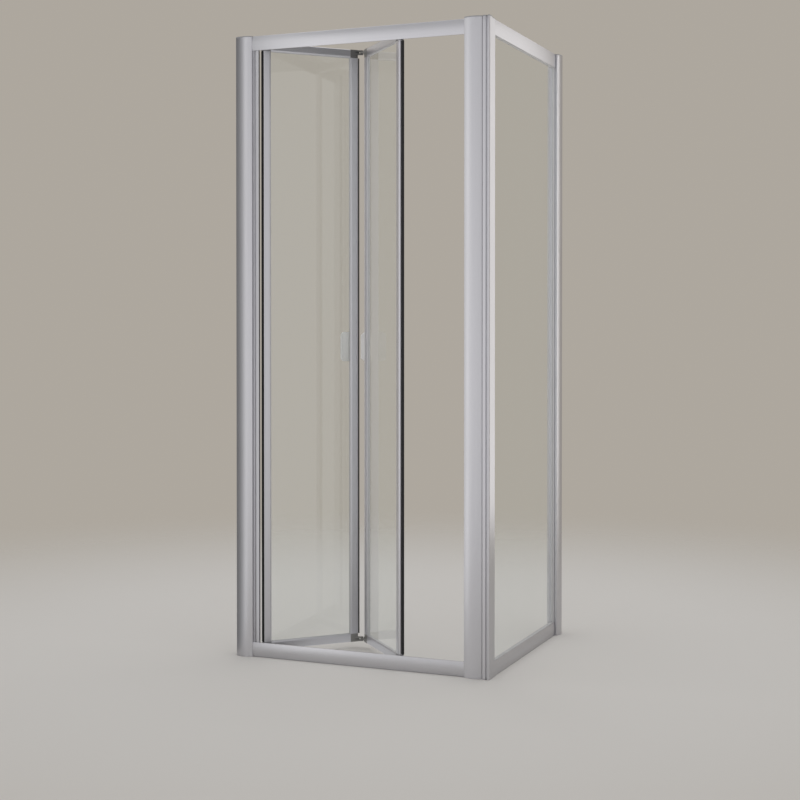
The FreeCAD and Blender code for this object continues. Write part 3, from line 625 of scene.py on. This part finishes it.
@dataclass
class JambScrews:
    """Pan-head screws that hold the jambs in their channels, on the inner side of the enclosure."""

    radius: float = 0.0038
    height: float = 0.0024
    sides: int = 40
    crown: float = 0.0016
    crown_segments: int = 5
    recess_width: float = 0.0011
    recess_arm: float = 0.0016
    recess_depth: float = 0.0013
    recess_taper: float = 0.55
    from_wall: float = 0.033
    levels: tuple[float, ...] = (0.2, 0.925, 1.65)

    def head(self) -> bpy.types.Object:
        """Crown a cylinder.

        Returns:
            The plain head, with its foot at the origin.
        """
        bpy.ops.object.select_all(action="DESELECT")
        bpy.ops.mesh.primitive_cylinder_add(vertices=self.sides, radius=self.radius, depth=self.height,
                                            location=(0.0, 0.0, self.height / 2))
        screw = open_for_editing("jamb_screw")
        pick(screw, Pick.EDGES, lambda edge: all(vert.co.z > self.height - TINY for vert in edge.verts))
        bpy.ops.mesh.bevel(offset=self.crown, segments=self.crown_segments, affect="EDGES")
        bpy.ops.object.mode_set(mode="OBJECT")
        return screw

    def cutter(self) -> bpy.types.Object:
        """Draw a cross out of a small block and taper it downwards.

        Returns:
            The cross that cuts the recess.
        """
        half = self.recess_width / 2
        cross = block("cross_cutter", (-half, -half, self.height - self.recess_depth),
                      (half, half, self.height + self.recess_depth))
        for way in ((1, 0, 0), (-1, 0, 0), (0, 1, 0), (0, -1, 0)):
            core = Vector(way) * half
            pick(cross, Pick.FACES, facing(way, lambda middle: (middle - core).xy.length < TINY))
            draw_out(Vector(way) * self.recess_arm)
        pick(cross, Pick.FACES, facing((0, 0, -1)))
        bpy.ops.transform.resize(value=(self.recess_taper, self.recess_taper, 1.0))
        bpy.ops.object.mode_set(mode="OBJECT")
        return cross

    def places(self) -> dict[str, Matrix]:
        """Find where the rows of screws stand.

        Returns:
            Each row's axes at the floor, by the row's name.
        """
        inward = Matrix.Rotation(-QUARTER_TURN, 4, "X")
        sideways = Matrix.Rotation(-QUARTER_TURN, 4, "Y")
        left, strike, rear = (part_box(node) for node in ("left_wall_channel", "strike_channel",
                                                        "side_wall_channel"))
        return {
            "left": Matrix.Translation((left[0].x + self.from_wall, left[1].y, 0.0)) @ inward,
            "strike": Matrix.Translation((strike[1].x - self.from_wall, strike[1].y, 0.0)) @ inward,
            "rear": Matrix.Translation((rear[0].x, rear[1].y - self.from_wall, 0.0)) @ sideways}

    def build(self) -> None:
        """Make one screw and copy it to its places."""
        screw = self.head()
        cross = self.cutter()
        bpy.ops.object.select_all(action="DESELECT")
        screw.select_set(True)
        bpy.context.view_layer.objects.active = screw
        recess = screw.modifiers.new("recess", "BOOLEAN")
        recess.object = cross
        recess.operation = "DIFFERENCE"
        bpy.ops.object.modifier_apply(modifier=recess.name)
        bpy.ops.object.shade_smooth_by_angle(angle=SMOOTH_ANGLE)
        bpy.data.objects.remove(cross)
        for row, axes in self.places().items():
            for number, level in enumerate(self.levels, 1):
                copy = bpy.data.objects.new(f"{row}_jamb_screw_{number}", screw.data.copy())
                bpy.context.scene.collection.objects.link(copy)
                settle(copy, Matrix.Translation((0.0, 0.0, level)) @ axes, "frame", STEEL)
        bpy.data.objects.remove(screw)


@dataclass
class StilePlug:
    """The moulded plug that closes the top of the side panel's front stile."""

    cover: float = 0.002
    margin: float = 0.0002
    spigot_depth: float = 0.008
    spigot_inset: float = 0.0022
    hollow_length: float = 0.0128
    panel_inset: float = 0.0018
    panel_recess: float = 0.0003
    edge: float = 0.0005
    edge_segments: int = 2

    def build(self) -> None:
        """Draw a spigot out of a thin cover, sink its top a little and soften it."""
        low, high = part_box("side_front_stile")
        plug = block("side_stile_plug", (low.x + self.margin, low.y + self.margin, high.z),
                     (high.x - self.margin, high.y - self.margin, high.z + self.cover))
        pick(plug, Pick.FACES, facing((0, 0, 1)))
        bpy.ops.mesh.inset(thickness=self.panel_inset, depth=-self.panel_recess)
        split = low.y + self.hollow_length
        slice_at((0.0, split, 0.0), (0, 1, 0))
        pick(plug, Pick.FACES, facing((0, 0, -1), lambda middle: middle.y < split))
        bpy.ops.mesh.inset(thickness=self.spigot_inset)
        draw_out((0.0, 0.0, -self.spigot_depth))
        soften(plug, self.edge, self.edge_segments)
        settle(plug, Matrix.Identity(4), "frame", SILVER_CAP)


@dataclass
class Handles:
    """The two pale handles at the fold, one on each leaf, with soft edges.

    Neither shows in mirror images, where the glass would double it.
    """

    low: float = 0.880
    high: float = 0.970
    face: float = 0.0075
    fold_edge: float = 0.2935
    thickness: float = 0.004
    wing_edge: float = 0.244
    wing_round: float = 0.012
    wing_segments: int = 7
    lip: float = 0.003
    rib_width: float = 0.0022
    rib_step: float = 0.005
    rib_height: float = 0.0008
    rib_count: int = 4
    inner_edge: float = 0.0004
    inner_segments: int = 2
    pull_rise: float = 0.012
    pull_taper: float = 7 / 9
    pull_panel: float = 0.0025
    pull_recess: float = 0.0006
    outer_edge: float = 0.0008
    outer_segments: int = 3

    def inner(self) -> None:
        """Make the inner handle: a plate with a rounded wing, a lip to pull at and finger ribs."""
        handle = block("inner_handle_moulding", (self.wing_edge, self.face, self.low),
                       (self.fold_edge, self.face + self.thickness, self.high))
        pick(handle, Pick.EDGES, lambda edge: all(vert.co.x < self.wing_edge + TINY for vert in edge.verts)
             and abs(edge.verts[0].co.y - edge.verts[1].co.y) > TINY)
        bpy.ops.mesh.bevel(offset=self.wing_round, segments=self.wing_segments, affect="EDGES")
        lip_end = self.wing_edge + self.lip
        slice_at((lip_end, 0.0, 0.0), (1, 0, 0))
        pick(handle, Pick.FACES, facing((0, -1, 0), lambda middle: middle.x < lip_end))
        draw_out((0.0, -self.lip, 0.0))
        for number in range(self.rib_count):
            start = lip_end + self.rib_step * (number + 0.5)
            stop = start + self.rib_width
            slice_at((start, 0.0, 0.0), (1, 0, 0))
            slice_at((stop, 0.0, 0.0), (1, 0, 0))
            for side in (1, -1):
                pick(handle, Pick.FACES, facing((0, side, 0), lambda middle: start < middle.x < stop))
                draw_out((0.0, side * self.rib_height, 0.0))
        soften(handle, self.inner_edge, self.inner_segments)
        settle(handle, pin_place("pivot_swing", REST_ANGLE), "pivot_leaf", FROSTED)
        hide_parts("inner_handle")
        handle.visible_glossy = False

    def outer(self) -> None:
        """Make the outer handle: an upright plate, narrower at its free edge, with sunk panels."""
        handle = block("outer_handle_moulding", (-self.fold_edge, -self.face - self.pull_rise, self.low),
                       (self.thickness - self.fold_edge, -self.face, self.high))
        pick(handle, Pick.FACES, facing((0, -1, 0)))
        bpy.ops.transform.resize(value=(1.0, 1.0, self.pull_taper))
        for way in ((1, 0, 0), (-1, 0, 0)):
            pick(handle, Pick.FACES, facing(way))
            bpy.ops.mesh.inset(thickness=self.pull_panel, depth=-self.pull_recess)
        soften(handle, self.outer_edge, self.outer_segments)
        settle(handle, pin_place("shoe_turn", -REST_ANGLE), "lead_leaf", MILKY)
        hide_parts("outer_handle")
        handle.visible_glossy = False

    def build(self) -> None:
        """Make both handles."""
        self.inner()
        self.outer()


@dataclass(frozen=True)
class Card:
    """A thin board that glows in mirror images and shows nowhere else.

    Its glow is one grey, or greys that run from its far edge to its near one.
    """

    name: str
    low: Corner
    high: Corner
    glow: tuple[tuple[float, float], ...]
    strength: float = 1.0
    edge: float = 0.0005
    edge_segments: int = 1

    def shade(self, tree: Tree) -> Any:
        """Work out the glow.

        Args:
            tree: The card's nodes.

        Returns:
            A colour, or the socket of one that changes along the card.
        """
        stops = [(place, opaque((grey, grey, grey))) for place, grey in self.glow]
        if len(stops) == 1:
            return stops[0][1]
        spot = tree.node("ShaderNodeSeparateXYZ", None, {0: tree.spot()})
        along = tree.value("ShaderNodeMapRange", None, {"Value": spot.outputs["Y"],
                                                        "From Min": self.high[1], "From Max": self.low[1]})
        return tree.node("ShaderNodeValToRGB", {"stops": stops}, {0: along}).outputs[0]

    def build(self) -> None:
        """Stand the card in its place."""
        card = block(self.name, self.low, self.high)
        soften(card, self.edge, self.edge_segments)
        material = bpy.data.materials.new(self.name)
        tree = Tree(material)
        tree.end(tree.node("ShaderNodeEmission", None,
                           {"Color": self.shade(tree), "Strength": self.strength}))
        card.data.materials.append(material)
        card.visible_camera = False
        card.visible_diffuse = False
        card.visible_transmission = False
        card.visible_shadow = False


class Reach(Enum):
    """Which objects a lamp lights: the linked ones alone, or all but them."""

    ONLY = "INCLUDE"
    ALL_BUT = "EXCLUDE"


@dataclass(frozen=True)
class SoftBox:
    """A soft lamp: its place, the point that it faces, its light, and the objects it is linked to."""

    name: str
    spot: Corner
    aim: Corner
    size: tuple[float, float]
    watts: float
    tint: Colour
    reach: Reach = Reach.ALL_BUT
    linked: tuple[str, ...] = ()

    def link(self, lamp: bpy.types.Object, objects: dict[str, bpy.types.Object]) -> None:
        """Let the lamp light its linked objects alone, or keep its light off them.

        Args:
            lamp: The lamp.
            objects: The objects that it may be linked to, by name.
        """
        linked = bpy.data.collections.new(f"{self.name}_linked")
        for name in self.linked:
            linked.objects.link(objects[name])
        for member in linked.collection_objects:
            member.light_linking.link_state = self.reach.value
        lamp.light_linking.receiver_collection = linked

    def build(self, objects: dict[str, bpy.types.Object]) -> None:
        """Hang the lamp, unseen by the camera and through the glass.

        Args:
            objects: The objects that it may be linked to, by name.
        """
        data = bpy.data.lights.new(self.name, "AREA")
        data.shape = "RECTANGLE"
        data.size, data.size_y = self.size
        data.energy = self.watts
        data.color = self.tint
        lamp = bpy.data.objects.new(self.name, data)
        bpy.context.scene.collection.objects.link(lamp)
        lamp.location = self.spot
        lamp.rotation_euler = (Vector(self.aim) - Vector(self.spot)).to_track_quat("-Z", "Y").to_euler()
        lamp.visible_camera = False
        lamp.visible_transmission = False
        if self.linked:
            self.link(lamp, objects)


@dataclass
class Studio:
    """The floor, the world, the cards, the lamps and the camera.

    The floor fades between two distances from its middle. The world's tones turn into each other over
    bands of a direction's Z, and of its Y for round_band.
    """

    eye: Corner = (1.74625, -4.24428, 1.00284)
    tilt_deg: Triple = (89.21, 0.0, 22.575)
    lens_mm: float = 66.60
    sensor_mm: float = 36.0
    shift_y: float = -0.0731
    sight: float = 100.0
    floor_radius: float = 7.0
    floor_sides: int = 96
    floor_drop: float = 0.0005
    floor_fade: Band = (1.0, 3.4)
    floor_colour: Colour = (0.80, 0.78, 0.75)
    floor_roughness: float = 0.9
    backdrop: Colour = (0.42, 0.387, 0.342)
    front: Colour = (0.92, 0.915, 0.93)
    zenith: Colour = (0.46, 0.46, 0.465)
    overhead: Colour = (0.58, 0.58, 0.58)
    backdrop_band: Band = (0.24, 0.70)
    front_band: Band = (0.02, 0.55)
    round_band: Band = (0.35, -0.45)
    overhead_band: Band = (0.60, 0.95)
    cards: tuple[Card, ...] = (
        Card("left_board", (-0.464, -1.25, 0.0), (-0.460, -0.20, 2.1),
             ((0.0, 0.10), (0.14, 0.12), (0.20, 0.22), (0.27, 0.36), (0.38, 0.60), (0.55, 0.90), (1.0, 0.95)),
             strength=1.4, edge=0.001),
        Card("dark_card", (0.356, -0.60, 1.865), (0.360, -0.02, 2.20), ((0.0, 0.08),)),
        Card("floor_card", (-0.30, -0.27, 0.001), (0.33, 0.25, 0.003), ((0.0, 0.62),)))
    soft_boxes: tuple[SoftBox, ...] = (
        SoftBox("rear_strip", (0.80, 0.47, 1.2), (0.80, -1.0, 1.2), (0.54, 1.8), 3.0, (0.98, 0.985, 1.0),
                Reach.ALL_BUT, ("floor", "side_glass", "side_wall_channel")),
        SoftBox("rear_edge_light", (1.84, 0.78, 1.4), (0.40, 0.33, 1.3), (0.3, 2.4), 6.0, (1.0, 1.0, 1.0),
                Reach.ONLY, ("side_wall_channel",)),
        SoftBox("left_soft_box", (-1.93, 0.79, 1.0), (0.05, -0.25, 0.95), (2.0, 2.4), 11.0, (1.0, 0.99, 0.98),
                Reach.ONLY, ("lead_stile", "lead_fold_stile", "lead_top_rail", "lead_bottom_rail",
                             "lead_gaskets")),
        SoftBox("top_soft_box", (0.0, 0.3, 3.9), (0.0, 0.3, 0.0), (3.6, 3.0), 26.0, (1.0, 0.99, 0.98)))

    def camera(self) -> None:
        """Set the camera at the photograph's angle."""
        data = bpy.data.cameras.new("camera")
        data.lens = self.lens_mm
        data.sensor_width = self.sensor_mm
        data.shift_y = self.shift_y
        data.clip_end = self.sight
        made = bpy.data.objects.new("camera", data)
        bpy.context.scene.collection.objects.link(made)
        made.location = self.eye
        made.rotation_euler = Euler([math.radians(turn) for turn in self.tilt_deg])
        bpy.context.scene.camera = made

    def floor(self) -> bpy.types.Object:
        """Lay a pale round floor that fades out into the backdrop.

        Returns:
            The floor.
        """
        bpy.ops.object.select_all(action="DESELECT")
        bpy.ops.mesh.primitive_circle_add(vertices=self.floor_sides, radius=self.floor_radius,
                                          fill_type="NGON", location=(0.0, 0.0, -self.floor_drop))
        made = bpy.context.object
        made.name = "floor"
        bpy.ops.object.transform_apply(location=True, rotation=True, scale=True)
        material = bpy.data.materials.new("pale_floor")
        tree = Tree(material)
        reach = tree.value("ShaderNodeVectorMath", {"operation": "LENGTH"}, {0: tree.spot()}, "Value")
        matt = tree.node("ShaderNodeBsdfPrincipled", None,
                         {"Base Color": opaque(self.floor_colour), "Roughness": self.floor_roughness,
                          "Specular IOR Level": 0.0})
        clear = tree.node("ShaderNodeBsdfTransparent")
        tree.end(tree.node("ShaderNodeMixShader", None, {0: tree.rise(reach, self.floor_fade),
                                                         1: matt.outputs[0], 2: clear.outputs[0]}))
        made.data.materials.append(material)
        return made

    def world(self) -> None:
        """Give the studio a plain pale backdrop, lighter in front of the door and greyer overhead."""
        world = bpy.data.worlds.new("studio")
        bpy.context.scene.world = world
        tree = Tree(world)
        way = tree.node("ShaderNodeSeparateXYZ", None,
                        {0: tree.node("ShaderNodeTexCoord").outputs["Generated"]})
        back, up = way.outputs["Y"], way.outputs["Z"]
        behind = tree.mix(tree.rise(up, self.backdrop_band), self.backdrop, self.zenith)
        before = tree.mix(tree.rise(up, self.front_band), self.front, self.zenith)
        around = tree.mix(tree.rise(back, self.round_band), behind, before)
        shade = tree.mix(tree.rise(up, self.overhead_band), around, self.overhead)
        tree.end(tree.node("ShaderNodeBackground", None, {"Color": shade}), "ShaderNodeOutputWorld")

    def build(self) -> None:
        """Make the whole studio."""
        bpy.context.scene.view_settings.view_transform = "Standard"
        self.camera()
        self.world()
        for card in self.cards:
            card.build()
        objects = {**frame["nodes"], "floor": self.floor()}
        for soft_box in self.soft_boxes:
            soft_box.build(objects)
        LOG.info("set up %d cards and %d lamps", len(self.cards), len(self.soft_boxes))


def main() -> None:
    """Dress the door, add its small pieces and set up the studio."""
    logging.basicConfig(level=logging.INFO, format="%(name)s: %(message)s")
    Dressing().build()
    JambScrews().build()
    StilePlug().build()
    Handles().build()
    Studio().build()


if __name__ == "__main__":
    main()
